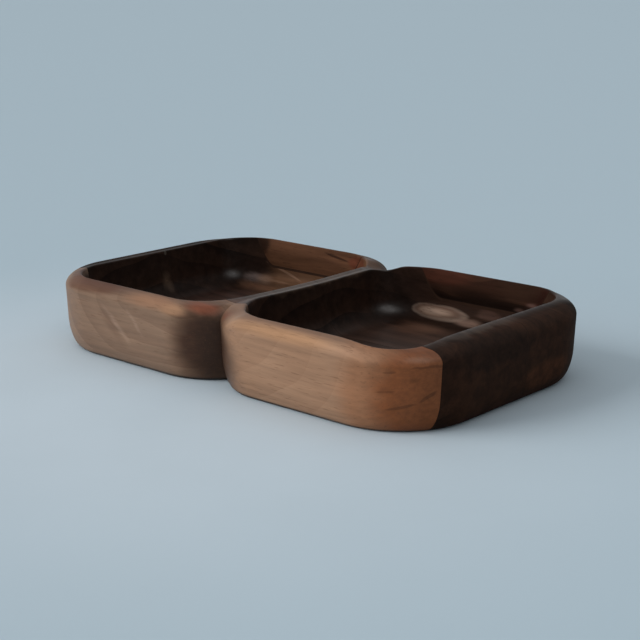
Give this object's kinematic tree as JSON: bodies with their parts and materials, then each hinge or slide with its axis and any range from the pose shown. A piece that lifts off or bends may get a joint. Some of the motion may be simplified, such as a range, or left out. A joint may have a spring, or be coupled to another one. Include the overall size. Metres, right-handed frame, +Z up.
{
  "type": "wooden appetizer dish",
  "caption": "Low carved walnut serving dish with rounded square bays side by side, a shared divider, a waist notch on each long side and a flat underside to rest on.",
  "frame": {"origin": "middle of the underside, on the surface that the dish stands on", "axes": "+X along the row of bays, towards the right-hand bay; +Y from the front stave to the back staves; +Z up"},
  "size_m": [0.25, 0.15, 0.038],
  "materials": {
    "pale_walnut": "oiled, satin",
    "dark_walnut": "oiled, satin",
    "brown_walnut": "oiled, satin",
    "cured_glue": "cured wood glue, sanded flush"
  },
  "bodies": {
    "root": {"front_stave": "pale_walnut", "front_heartwood_board": "dark_walnut", "back_heartwood_board": "dark_walnut", "back_stave_left": "brown_walnut", "back_stave_right": "brown_walnut", "front_glue_line": "cured_glue", "middle_glue_line": "cured_glue", "back_glue_line_left": "cured_glue", "back_glue_line_right": "cured_glue"}
  },
  "joints": []
}
